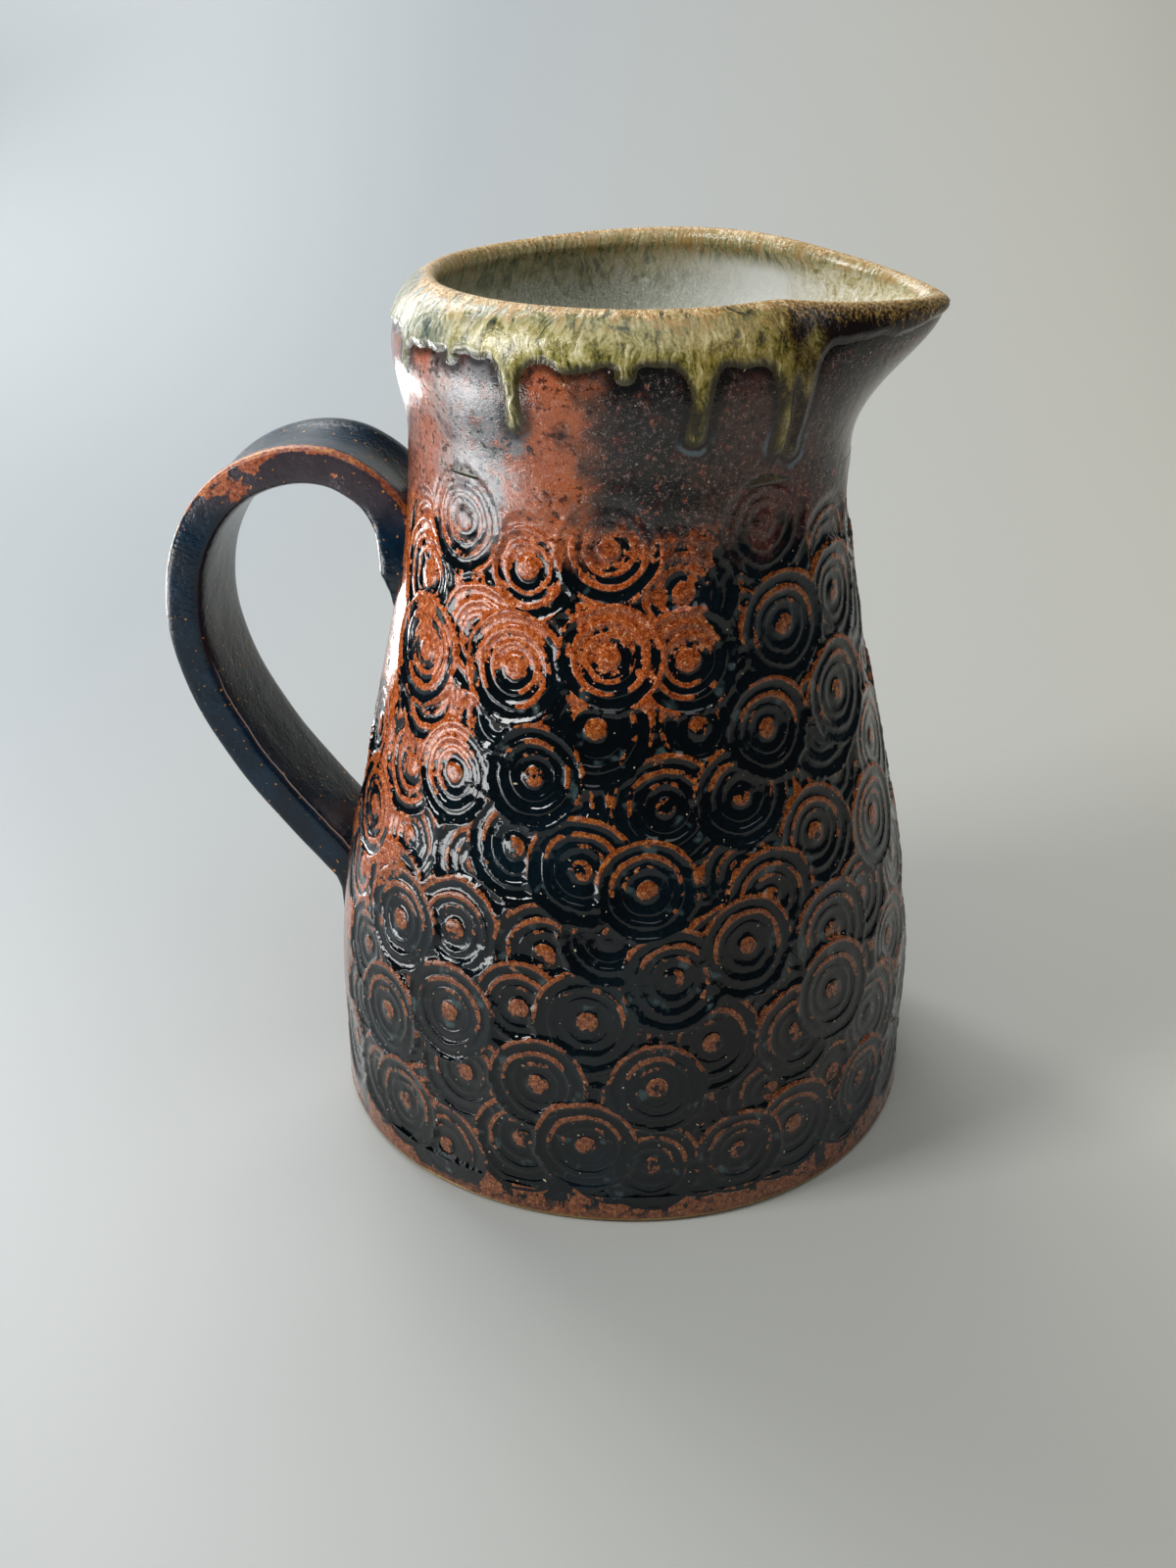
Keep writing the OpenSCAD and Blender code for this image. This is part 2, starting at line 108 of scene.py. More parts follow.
sheet_half_width = 1700.0
sheet_front_y = -520.0
sheet_bend_y = 420.0
sheet_curl = 1500.0
curl = np.radians(np.linspace(0, 75, 40))
sheet_y = np.concatenate([[sheet_front_y], sheet_bend_y + sheet_curl * np.sin(curl)])
sheet_z = np.concatenate([[0.0], sheet_curl * (1 - np.cos(curl))])
sheet_grid = np.array([np.column_stack([np.full(len(sheet_y), x), sheet_y, sheet_z])
                       for x in (-sheet_half_width, sheet_half_width)])
paper_finish = bpy.data.materials.new("pale_paper")
paper_finish.use_nodes = True
paper_tree = paper_finish.node_tree
paper_shader = paper_tree.nodes["Principled BSDF"]
paper_shader.inputs["Roughness"].default_value = 0.45
paper_place = paper_tree.nodes.new("ShaderNodeTexCoord")
paper_parts = paper_tree.nodes.new("ShaderNodeSeparateXYZ")
# The paper's colour carries painted light: painted darker on the left where the window lights it
# most, and lighter and warmer to the right of the jug, a painted glow of warm bounced light.
paper_painted_glow_tint = paper_tree.nodes.new("ShaderNodeValToRGB")
paper_painted_glow_span = paper_tree.nodes.new("ShaderNodeMapRange")
paper_painted_glow_span.inputs["From Min"].default_value = -0.25
paper_painted_glow_span.inputs["From Max"].default_value = 0.22
paper_painted_glow_tint.color_ramp.elements[0].color = paint("969c9f")
paper_painted_glow_tint.color_ramp.elements[1].color = paint("bbbab1")
paper_tree.links.new(paper_place.outputs["Object"], paper_parts.inputs[0])
paper_tree.links.new(paper_parts.outputs["X"], paper_painted_glow_span.inputs["Value"])
paper_tree.links.new(paper_painted_glow_span.outputs["Result"], paper_painted_glow_tint.inputs[0])
paper_tree.links.new(paper_painted_glow_tint.outputs["Color"], paper_shader.inputs["Base Color"])
paper_mesh = mesh_from_grid("paper_ground", sheet_grid, round_rows=False, round_section=False)
paper = add_piece("paper_ground", paper_mesh, paper_finish)


# The light: a window high on the left, the sunlit table under it and two more patches of sun, a
# tall window behind the handle, a wide pale ceiling, a lamp over the back of the sheet, and a
# dim room.
def add_window(name, place, aim, size, power):
    """A soft lamp: where it is, the point that it faces, its two sides in mm, and its watts."""
    lamp = bpy.data.lights.new(name, "AREA")
    lamp.shape = "RECTANGLE"
    lamp.size, lamp.size_y = [s * mm for s in size]
    lamp.energy = power
    holder = bpy.data.objects.new(name, lamp)
    holder.location = [c * mm for c in place]
    way = mathutils.Vector(aim) - mathutils.Vector(place)
    holder.rotation_euler = way.to_track_quat("-Z", "Y").to_euler()
    holder.visible_camera = False
    scene.collection.objects.link(holder)


add_window("window_left", (-617, -386, 629), (0, 0, 100), (260, 420), 5.5)
add_window("sunlit_table", (-510, -250, 4), (-510, -250, 100), (300, 440), 3.6)
add_window("sun_patch", (-760, -290, 6), (-760, -290, 100), (120, 580), 3.4)
add_window("sun_patch_behind", (-400, 330, 6), (-400, 330, 100), (160, 320), 2.5)
add_window("window_back_left", (-770, 646, 547), (0, 0, 100), (260, 900), 5)
add_window("ceiling", (250, -400, 1500), (0, 0, 0), (1700, 1700), 13.5)
add_window("over_sheet", (-760, 1080, 1150), (-640, 1200, 0), (1300, 900), 18)
room = bpy.data.worlds.new("dim_room")
room.use_nodes = True
room_tree = room.node_tree
dim_room = room_tree.nodes["Background"]
dim_room.inputs["Color"].default_value = paint("a9b4c0")
dim_room.inputs["Strength"].default_value = 0.1
# Past the edge of the sheet the camera sees the same pale grey
pale_room = room_tree.nodes.new("ShaderNodeBackground")
pale_room.inputs["Color"].default_value = paint("c3c7c9")
room_light = room_tree.nodes.new("ShaderNodeLightPath")
room_mix = room_tree.nodes.new("ShaderNodeMixShader")
room_tree.links.new(room_light.outputs["Is Camera Ray"], room_mix.inputs[0])
room_tree.links.new(dim_room.outputs[0], room_mix.inputs[1])
room_tree.links.new(pale_room.outputs[0], room_mix.inputs[2])
room_tree.links.new(room_mix.outputs[0], room_tree.nodes["World Output"].inputs["Surface"])
scene.world = room


# The wall: stoneware clay built up round the floor slab, upright at the foot and tapering to a
# waist. While it was soft, a wooden stamp of rings round a boss was pressed all over it, row on
# row, each print biting into the last.
foot_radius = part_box("base_slab")[1].x / mm
collar_foot_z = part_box("body_wall")[1].z / mm
skirt_top_z = 28.0
waist_radius = 49.3
waist_z = 168.0
shoulder_radius = 52.0
shoulder_z = 186.0
glaze_line_z = 1.4
slab_top_z = 7.3
clay_depth = 5.4
foot_film = 0.25


def smooth(t):
    t = np.clip(t, 0, 1)
    return t * t * (3 - 2 * t)


def blend(a, b, share):
    return a + (b - a) * share


def wall_radius(z):
    """The outside of the wall and collar at a height, before it is stamped."""
    taper = blend(foot_radius, waist_radius, smooth((z - skirt_top_z) / (waist_z - skirt_top_z)))
    swell = blend(waist_radius, shoulder_radius, smooth((z - waist_z) / (shoulder_z - waist_z)))
    return np.where(z < waist_z, taper, swell)


def out_of_true(angles, z):
    """How far the hand-built wall stands out from a true round at an angle and height."""
    a = np.radians(angles)[:, None]
    sway = (0.4 * np.sin(2 * a + 0.8) + 0.25 * np.sin(3 * a - 1.1 + z / 60)
            + 0.2 * np.sin(5 * a + z / 35))
    return sway * smooth((158 - z) / 60)


wall_columns = 432
wall_rows = 212
wall_angles = np.arange(wall_columns) * 360.0 / wall_columns
outside_z = np.linspace(glaze_line_z, collar_foot_z, wall_rows)
inside_z = np.linspace(collar_foot_z, slab_top_z, 8)
section_z = np.concatenate([outside_z, inside_z, [slab_top_z, glaze_line_z]])
section_r = np.concatenate([
    wall_radius(outside_z), wall_radius(inside_z) - clay_depth,
    [foot_radius - foot_film, foot_radius - foot_film]])
wall_grid = turned_about_axis(
    section_r + out_of_true(wall_angles, section_z), section_z, wall_angles)
wall_base = mesh_from_grid("stamped_wall", wall_grid)
is_outside = np.tile(np.arange(len(section_z)) < wall_rows, wall_columns)
no_ash = -99.0


def note(mesh, name, values):
    """Keeps one number for each vertex of a mesh, for its material or its relief."""
    mesh.attributes.new(name, "FLOAT", "POINT").data.foreach_set(
        "value", np.asarray(values, dtype=np.float32).ravel())


note(wall_base, "outside", is_outside)
note(wall_base, "ash_cover", np.full(is_outside.shape, no_ash))

# The stamp was pressed in rows all round, each row half a pitch on from the last, and then again
# wherever the wall between handle and spout looked bare: height, then angle.
later_presses = [
    (11, -119), (16, -78), (17, -130), (17, -61), (19, -49), (20, -29), (20, -102), (21, -90),
    (28, -39), (31, -55), (34, -114), (36, -99), (37, -77), (37, -27), (39, -135),
    (44, -49), (47, -67), (48, -118), (50, -39), (53, -90), (54, -103),
    (63, -74), (64, -38), (64, -133), (68, -59), (73, -86), (77, -53),
    (83, -79), (83, -18), (87, -92), (88, -40), (90, -106),
    (101, -58), (101, -75), (102, -123), (106, -103), (111, -33), (114, -50), (116, -26),
    (117, -90), (125, -139), (128, -110), (131, -69), (132, -120), (132, -87), (135, -43),
    (137, -22), (141, -142), (145, -70), (149, -108), (154, -88), (156, -128), (157, -48)]
dice = np.random.default_rng(41)
print_radius = (11.2, 12.6)
press_rows = 9
row_foot_z = 18.0
row_rise = 16.4
press_pitch = 21.0
stray_share = 0.05
hand_wander = 0.7
# No print goes under the ends of the strap, but the rows run through behind it
strap_half_gap = 26.0
strap_low_z, strap_high_z, tail_z = 68.0, 114.0, 30.0
row_presses = []
for row in range(press_rows):
    row_z = row_foot_z + row_rise * row
    number = int(2 * math.pi * wall_radius(row_z) / press_pitch)
    for i in range(number):
        z = row_z + stray_share * row_rise * math.sin(math.radians(61 * i + 17 * row))
        sway = stray_share * math.sin(math.radians(97 * i + 31 * row))
        turn = 360 * (i + (row % 2) / 2 + sway) / number
        off_strap = abs(turn - 180) * math.pi / 180 * wall_radius(z) > strap_half_gap
        if off_strap or strap_low_z < z < strap_high_z or z < tail_z:
            wander = dice.normal(0, hand_wander, 2)
            row_presses.append((z + wander[0], turn + wander[1]))
presses = np.vstack([dice.permutation(row_presses), dice.permutation(later_presses)])
presses[:, 1] = (presses[:, 1] + 180) % 360 - 180
print_radii = dice.uniform(*print_radius, len(presses))

press_marks = bpy.data.meshes.new("press_marks")
press_marks.from_pydata(
    np.column_stack([np.radians(presses[:, 1]), presses[:, 0], print_radii]).tolist(), [], [])
press_places = bpy.data.objects.new("press_marks", press_marks)
scene.collection.objects.link(press_places)

# The face of the stamp in section: share of its radius, then height from groove to clay
stamp_face = [(0.0, 1.0), (0.18, 0.98), (0.23, 0.0), (0.37, 0.0), (0.41, 0.5), (0.46, 0.5),
              (0.50, 0.0), (0.59, 0.0), (0.63, 0.8), (0.70, 0.8), (0.74, 0.0), (0.88, 0.0),
              (0.93, 0.72), (1.0, 0.78)]
ring_depth = 0.4
press_dish = 0.95
press_lean = 0.3
edge_warp = 1.6
warp_size = 9.0


def feed(tree, slot, value):
    """Gives a slot of a node its value: a measure, a colour's output or code, or a number."""
    if isinstance(value, Measure):
        tree.links.new(value.socket, slot)
    elif isinstance(value, bpy.types.NodeSocket):
        tree.links.new(value, slot)
    else:
        slot.default_value = paint(value) if isinstance(value, str) else float(value)


class Measure:
    """A number that varies over a surface. Sums and products of it add nodes to its tree."""

    def __init__(self, tree, socket):
        self.tree = tree
        self.socket = socket

    def math(self, operation, *others):
        node = self.tree.nodes.new("ShaderNodeMath")
        node.operation = operation
        for slot, value in zip(node.inputs, (self,) + others):
            feed(self.tree, slot, value)
        return Measure(self.tree, node.outputs[0])

    def __add__(self, other):
        return self.math("ADD", other)

    def __sub__(self, other):
        return self.math("SUBTRACT", other)

    def __mul__(self, other):
        return self.math("MULTIPLY", other)

    def __truediv__(self, other):
        return self.math("DIVIDE", other)

    def below(self, other):
        return self.math("LESS_THAN", other)

    def most(self, other):
        return self.math("MAXIMUM", other)

    def least(self, other):
        return self.math("MINIMUM", other)

    def positive(self):
        return self.math("ABSOLUTE")

    def wrapped(self):
        """An angle in radians as one turn, from -pi to pi."""
        return self.math("WRAP", math.pi, -math.pi)

    def rest(self):
        """What is left of 1."""
        return self * -1 + 1

    def rise(self, low, high):
        """0 below low, 1 above high, and a smooth step between them. It falls if high is lower."""
        node = self.tree.nodes.new("ShaderNodeMapRange")
        node.interpolation_type = "SMOOTHSTEP"
        self.tree.links.new(self.socket, node.inputs["Value"])
        lower, upper, ends = (low, high, (0.0, 1.0)) if low < high else (high, low, (1.0, 0.0))
        node.inputs["From Min"].default_value = lower
        node.inputs["From Max"].default_value = upper
        node.inputs["To Min"].default_value, node.inputs["To Max"].default_value = ends
        return Measure(self.tree, node.outputs["Result"])

    def toward(self, other, share):
        """This measure where share is 0, the other where it is 1."""
        node = self.tree.nodes.new("ShaderNodeMix")
        for number, value in zip((0, 2, 3), (share, self, other)):
            feed(self.tree, node.inputs[number], value)
        return Measure(self.tree, node.outputs[0])

    def profile(self, points):
        """The height of a profile at this share of its width."""
        node = self.tree.nodes.new("ShaderNodeFloatCurve")
        line = node.mapping.curves[0]
        while len(line.points) < len(points):
            line.points.new(0.5, 0.5)
        for point, place in zip(line.points, points):
            point.location = place
            point.handle_type = "AUTO_CLAMPED"
        node.mapping.update()
        self.tree.links.new(self.socket, node.inputs["Value"])
        return Measure(self.tree, node.outputs[0])


def parts_of(tree, vector):
    node = tree.nodes.new("ShaderNodeSeparateXYZ")
    tree.links.new(vector, node.inputs[0])
    return [Measure(tree, output) for output in node.outputs]


def vector_of(tree, *parts):
    node = tree.nodes.new("ShaderNodeCombineXYZ")
    for slot, value in zip(node.inputs, parts):
        feed(tree, slot, value)
    return node.outputs[0]


def grain(tree, place, size, detail=2.0, roughness=0.5, warp=0.0):
    """A cloudy pattern of patches of about that size in mm, from 0 to 1, at a place in mm."""
    node = tree.nodes.new("ShaderNodeTexNoise")
    tree.links.new(place, node.inputs["Vector"])
    node.inputs["Scale"].default_value = 1 / size
    node.inputs["Detail"].default_value = detail
    node.inputs["Roughness"].default_value = roughness
    node.inputs["Distortion"].default_value = warp
    return Measure(tree, node.outputs[0])


class Place:
    """Where a point of a surface is: x, y, z and radius in mm, and its angle in radians."""

    def __init__(self, tree, metres):
        self.x, self.y, self.z = [part * (1 / mm) for part in parts_of(tree, metres)]
        self.radius = (self.x * self.x + self.y * self.y).math("SQRT")
        self.angle = self.y.math("ARCTAN2", self.x)
        self.point = vector_of(tree, self.x, self.y, self.z)


def print_at(tree, place, print_vector):
    """Where a point lies in one print: share of its radius, and how far above its middle."""
    turn, height, size = parts_of(tree, print_vector)
    across = (place.angle - turn).wrapped() * place.radius
    above = place.z - height
    warp = (grain(tree, place.point, warp_size, detail=1.0) - 0.5) * edge_warp
    share = ((across * across + above * above).math("SQRT") + warp) / size
    return share, above / size


def press_tree():
    """Geometry nodes that press the stamp at every place, one after the other."""
    tree = bpy.data.node_groups.new("pressed_rings", "GeometryNodeTree")
    tree.is_modifier = True
    sockets = [("Clay", "NodeSocketGeometry"), ("Press marks", "NodeSocketObject"),
               ("Number of presses", "NodeSocketInt"), ("Ring depth", "NodeSocketFloat"),
               ("Dish", "NodeSocketFloat"), ("Lean", "NodeSocketFloat"),
               ("Glaze", "NodeSocketMaterial")]
    for name, kind in sockets:
        tree.interface.new_socket(name, in_out="INPUT", socket_type=kind)
    tree.interface.new_socket("Clay", in_out="OUTPUT", socket_type="NodeSocketGeometry")
    given = tree.nodes.new("NodeGroupInput").outputs
    result = tree.nodes.new("NodeGroupOutput").inputs
    link = tree.links.new

    def read(name, kind="FLOAT"):
        node = tree.nodes.new("GeometryNodeInputNamedAttribute")
        node.data_type = kind
        node.inputs["Name"].default_value = name
        return node.outputs["Attribute"]

    def keep(clay, name, kind, domain, value, where=None):
        node = tree.nodes.new("GeometryNodeStoreNamedAttribute")
        node.data_type, node.domain = kind, domain
        node.inputs["Name"].default_value = name
        link(clay, node.inputs["Geometry"])
        link(value, node.inputs["Value"])
        if where:
            link(where.socket, node.inputs["Selection"])
        return node.outputs["Geometry"]

    marks = tree.nodes.new("GeometryNodeObjectInfo")
    link(given["Press marks"], marks.inputs["Object"])
    start = tree.nodes.new("GeometryNodeRepeatInput")
    end = tree.nodes.new("GeometryNodeRepeatOutput")
    start.pair_with_output(end)
    link(given["Number of presses"], start.inputs["Iterations"])
    link(given["Clay"], start.inputs["Geometry"])
    position = tree.nodes.new("GeometryNodeInputPosition").outputs[0]
    mark = tree.nodes.new("GeometryNodeSampleIndex")
    mark.data_type = "FLOAT_VECTOR"
    link(marks.outputs["Geometry"], mark.inputs["Geometry"])
    link(position, mark.inputs["Value"])
    link(start.outputs["Iteration"], mark.inputs["Index"])
    mark = mark.outputs["Value"]
    place = Place(tree, position)
    share, above = print_at(tree, place, mark)
    rings = share.profile(stamp_face)
    depth = Measure(tree, given["Ring depth"]) * rings.rest()
    dish = Measure(tree, given["Dish"]) * (share * share).rest()
    lean = Measure(tree, given["Lean"]) * above * share.rest()
    outside = Measure(tree, read("outside"))
    inside_print = share.below(1.0) * outside
    clay = keep(start.outputs["Geometry"], "relief", "FLOAT", "POINT",
                (lean - depth - dish).socket, inside_print)
    near_print = share.below(1.12)
    clay = keep(clay, "third_print", "FLOAT_VECTOR", "FACE", read("under_print", "FLOAT_VECTOR"),
                near_print)
    clay = keep(clay, "under_print", "FLOAT_VECTOR", "FACE", read("top_print", "FLOAT_VECTOR"),
                near_print)
    clay = keep(clay, "top_print", "FLOAT_VECTOR", "FACE", mark, near_print)
    link(clay, end.inputs["Geometry"])
    move = tree.nodes.new("GeometryNodeSetPosition")
    link(end.outputs["Geometry"], move.inputs["Geometry"])
    relief = Measure(tree, read("relief")) * mm
    out_x, out_y = place.x / place.radius, place.y / place.radius
    link(vector_of(tree, out_x * relief, out_y * relief, 0), move.inputs["Offset"])
    coat = tree.nodes.new("GeometryNodeSetMaterial")
    link(move.outputs["Geometry"], coat.inputs["Geometry"])
    link(given["Glaze"], coat.inputs["Material"])
    real = tree.nodes.new("GeometryNodeRealizeInstances")
    link(coat.outputs["Geometry"], real.inputs["Geometry"])
    link(real.outputs["Geometry"], result["Clay"])
    return tree


def new_finish(name):
    """A material with its shader, ready for a pattern."""
    finish = bpy.data.materials.new(name)
    finish.use_nodes = True
    tree = finish.node_tree
    shader = tree.nodes["Principled BSDF"]
    where = tree.nodes.new("ShaderNodeTexCoord").outputs["Object"]
    return finish, tree, shader, Place(tree, where)


def tints(tree, measure, stops):
    """Colours along a measure from 0 to 1, as pairs of a share and a colour."""
    node = tree.nodes.new("ShaderNodeValToRGB")
    ramp = node.color_ramp
    while len(ramp.elements) < len(stops):
        ramp.elements.new(0.5)
    for element, (share, code) in zip(ramp.elements, stops):
        element.position = share
        element.color = paint(code)
    tree.links.new(measure.socket, node.inputs[0])
    return node.outputs["Color"]


def layered(tree, colour, layers):
    """A colour with others laid over it in turn, each with its share from 0 to 1."""
    for top, share in layers:
        node = tree.nodes.new("ShaderNodeMix")
        node.data_type = "RGBA"
        for number, value in zip((0, 6, 7), (share, colour, top)):
            feed(tree, node.inputs[number], value)
        colour = node.outputs[2]
    return colour


def dress(tree, shader, colour, roughness, height, strength=1.0):
    """Gives a shader its colour, its roughness and a fine relief in mm."""
    feed(tree, shader.inputs["Base Color"], colour)
    feed(tree, shader.inputs["Roughness"], roughness)
    bump = tree.nodes.new("ShaderNodeBump")
    bump.inputs["Strength"].default_value = strength
    bump.inputs["Distance"].default_value = mm
    tree.links.new(height.socket, bump.inputs["Height"])
    tree.links.new(bump.outputs["Normal"], shader.inputs["Normal"])


def kept(tree, name):
    """What the mesh keeps under a name."""
    node = tree.nodes.new("ShaderNodeAttribute")
    node.attribute_name = name
    return node


def steady(tree, value):
    """A measure that is the same everywhere."""
    node = tree.nodes.new("ShaderNodeValue")
    node.outputs[0].default_value = value
    return Measure(tree, node.outputs[0])


# Bands of the dark glaze round the neck, where two pours of it met, with painted sheen: angle, then
# colour
# From -152 to -93, on the window side, the bands are painted lighter than the glaze, a painted
# sheen of the window's light.
neck_bands_and_painted_sheen = [
    (-180, "6b3a28"), (-152, "7e4a38"), (-140, "a4604a"), (-130, "a08c86"), (-124, "888688"),
    (-117, "747678"), (-111, "9c5438"), (-100, "a85c38"), (-93, "6e4636"), (-87, "2a2929"),
    (-74, "262626"), (-66, "463833"), (-56, "503a33"), (-46, "5c2e26"), (-37, "4a2420"),
    (-29, "202122"), (-14, "2a292a"), (0, "4b302c"), (22, "242526"), (46, "6d3c2c"),
    (68, "2a2a2b"), (94, "55585a"), (114, "8a4a32"), (138, "302d2c"), (160, "6a4436"),
    (180, "6b3a28")]
# Thick runs of it over the hot side: angle, height of the top and of the tip, half the width
black_runs = [(-99, 150, 108, 2.4), (-59, 158, 104, 3.2), (-113, 125, 104, 4.0),
              (-133, 150, 130, 2.4), (-147, 132, 104, 2.2)]
hot_turn = math.radians(-108)
plain_clay_height = 0.70
print_height = 1.08
arc_radius = 50.0


def dark_glaze(name):
    """Iron glaze: blue-black where it lies thick, rust where it is thin over raised clay."""
    finish, tree, shader, place = new_finish(name)
    patches = grain(tree, place.point, 5.0, detail=2.0)
    fine = grain(tree, place.point, 1.1, detail=3.0, roughness=0.65)
    dust = grain(tree, place.point, 0.35, detail=1.0)
    broken = grain(tree, place.point, 2.6, detail=2.0)
    clouds = grain(tree, place.point, 22.0, detail=2.0)
    runs = grain(tree, vector_of(tree, place.x, place.y, place.z * 0.22), 7.0, detail=4.0,
                 roughness=0.65)

    height = steady(tree, plain_clay_height)
    above = steady(tree, 0.0)
    for print_name in ("third_print", "under_print", "top_print"):
        share, lift = print_at(tree, place, kept(tree, print_name).outputs["Vector"])
        inside = share.below(1.0)
        height = height.toward(share.profile(stamp_face) * print_height, inside)
        above = above.toward(lift, inside)

    # The kiln left one side of the shoulder hotter, and the glaze there thin, down to a slanting
    # edge; a few thick runs cross it and stay black
    heat_turn = (place.angle - hot_turn).wrapped()
    heat_low = (heat_turn + 0.14).least(0) * 110 + 117
    heat_edge = (place.z - heat_low) / 13 + (clouds - 0.5) * 2.4 + (patches - 0.5) * 1.6
    heat_side = (heat_turn.positive() + (clouds - 0.5) * 0.5).rise(1.0, 0.65)
    heat = heat_edge.rise(-0.4, 0.8) * heat_side
    black = steady(tree, 0.0)
    for turn, high_z, low_z, half in black_runs:
        away = (place.angle - math.radians(turn)).wrapped() * arc_radius + (clouds - 0.5) * 12
        away = (away.positive() + (patches - 0.5) * 6 + (fine - 0.5) * 3) / half
        black = black.most(away.rise(1.2, 0.7) * place.z.rise(low_z - 4, low_z + 3)
                           * place.z.rise(high_z + 3, high_z - 4))
    neck = (place.z + (patches - 0.5) * 20 + (runs - 0.5) * 16).rise(150, 160)
    foot = (place.z + (patches - 0.5) * 9 + (fine - 0.5) * 6).rise(3.4, 2.2)
    thin = (height + (patches - 0.5) * 1.6 + (fine - 0.5) * 0.9 + above * 0.65 + heat * 0.95
            + (broken - 0.5) * 1.1 - (runs - 0.52).most(0) * 4.5 - black)
    rust = thin.rise(0.85, 0.93)

    grit = fine + (dust - 0.5) * 0.8
    bright = tints(tree, grit, [
        (0.25, "501c0c"), (0.42, "984218"), (0.55, "b2561f"), (0.68, "c67a4a"), (0.8, "e8c2aa")])
    middle = tints(tree, grit, [
        (0.25, "40170a"), (0.45, "823e17"), (0.6, "9f531d"), (0.78, "c08240")])
    dull = tints(tree, grit, [
        (0.25, "38221a"), (0.45, "74422a"), (0.62, "925838"), (0.8, "ac8264")])
    low = ((place.z * -1 + 100) / 55 + (clouds - 0.5) * 1.2).rise(0.0, 0.9)
    rust_colour = layered(tree, middle, [(dull, low * 0.8), (bright, heat)])
    dark_colour = tints(tree, clouds * 0.6 + fine * 0.4, [
        (0.3, "010203"), (0.5, "03090d"), (0.62, "06141b"), (0.8, "0e242d")])
    haze = (patches.rise(0.60, 0.72) * (height * 1.4).rest().most(0)) * (dust * 0.9 + 0.05)

    # The neck's colour: its glaze bands, painted lighter on the window side as a painted sheen.
    turn = place.angle + (clouds - 0.5) * 0.35 + (patches - 0.5) * 0.5 + (fine - 0.5) * 0.3
    neck_colour_and_sheen = tints(tree, turn / (2 * math.pi) + 0.5, [
        ((angle + 180) / 360, code) for angle, code in neck_bands_and_painted_sheen])
    salt = tints(tree, grit, [(0.3, "000000"), (0.5, "6a5a54"), (0.68, "c8a89c")])
    flecks = broken * 0.5 + fine * 0.5
    neck_colour_and_sheen = layered(tree, neck_colour_and_sheen, [
        ("54261a", patches.rise(0.56, 0.7) * 0.6),
        ("8e452c", flecks.rise(0.58, 0.63) * 0.7),
        ("191413", flecks.rise(0.45, 0.40) * 0.75),
        (salt, grit.rise(0.54, 0.8) * 0.45),
        ("120d0c", grit.rise(0.42, 0.25) * 0.6)])
    foot_colour = tints(tree, fine + (patches - 0.5) * 0.5, [
        (0.25, "120d0b"), (0.38, "4a2a1c"), (0.55, "824e32"), (0.75, "a8784e")])
    bare = tints(tree, grit, [
        (0.3, "4a3418"), (0.45, "93703c"), (0.6, "c8a468"), (0.75, "f0dcae")])
    bare_edge = (place.z + (fine - 0.5) * 2).rise(1.5, 0.8)

    # Beside the ash glaze and its runs the iron is painted near black, and round the tips of its
    # runs a milky blue
    beside = Measure(tree, kept(tree, "ash_cover").outputs["Fac"]) + (fine - 0.5) * 1.6
    tip = beside.rise(-2.8, -1.9) * beside.rise(-1.0, -1.5) * (place.z * -1).rise(-179, -174)
    specks = grain(tree, place.point, 0.8, detail=0.0).rise(0.83, 0.87)
    body = layered(tree, dark_colour, [
        ("54686a", haze), (rust_colour, rust), (neck_colour_and_sheen, neck), (foot_colour, foot),
        (bare, bare_edge), ("0b0c0a", beside.rise(-3.4, -1.2) * 0.8),
        ("6d7c84", tip * patches.rise(0.4, 0.6) * 0.8), ("d8c7a4", specks * 0.8)])

    matt = (rust * 0.05 + foot * 0.3 + (dust - 0.5) * 0.15 + 0.05).most(0.03)
    skin = (height * 0.11 + fine * (rust * 0.07 + 0.03) + patches * 0.25
            + dust * (rust * 0.03 + neck * 0.03 + 0.005))
    dress(tree, shader, body, matt, skin, 0.8)
    return finish


wall_glaze = dark_glaze("iron_glaze_on_rings")


def stamped(name, mesh, finish):
    """The mesh with every print pressed into it."""
    clay = bpy.data.objects.new(name, mesh)
    scene.collection.objects.link(clay)
    press = clay.modifiers.new("press", "NODES")
    press.node_group = press_nodes
    chosen = {"Press marks": press_places, "Number of presses": len(presses),
              "Ring depth": ring_depth, "Dish": press_dish, "Lean": press_lean, "Glaze": finish}
    for item in press_nodes.interface.items_tree:
        if item.in_out == "INPUT" and item.name in chosen:
            press[item.identifier] = chosen[item.name]
    graph = bpy.context.evaluated_depsgraph_get()
    result = bpy.data.meshes.new_from_object(clay.evaluated_get(graph))
    result.name = name
    clay.modifiers.clear()
    clay.data = result
    clay.data.shade_smooth()
    clay.data.set_sharp_from_angle(angle=math.radians(60))
    return clay


press_nodes = press_tree()
wall = stamped("stamped_wall", wall_base, wall_glaze)
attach(wall, "root")
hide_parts("body_wall")


# The foot: the floor slab of sandy clay that the wall was built up on. Its edge is worn round,
# and it was wiped clean of glaze where it stood on the kiln shelf.
foot_angles = np.arange(0, 360, 1.0)
worn_edge = 1.2
foot_top_z = 6.9
foot_section = [
    (0.5, foot_top_z), (40, foot_top_z), (foot_radius - 1.5, foot_top_z),
    (foot_radius - 0.3, 6.4), (foot_radius - 0.3, worn_edge * 1.1),
    (foot_radius - worn_edge * 0.25, worn_edge * 0.6),
    (foot_radius - worn_edge * 0.6, worn_edge * 0.22),
    (foot_radius - worn_edge - 0.5, 0), (66, 0), (58, 0), (40, 0), (20, 0), (0.5, 0)]
foot_r, foot_z = np.array(foot_section, dtype=float).T
foot_grid = turned_about_axis(
    foot_r + out_of_true(foot_angles, foot_z) * (foot_r > 60), foot_z, foot_angles)
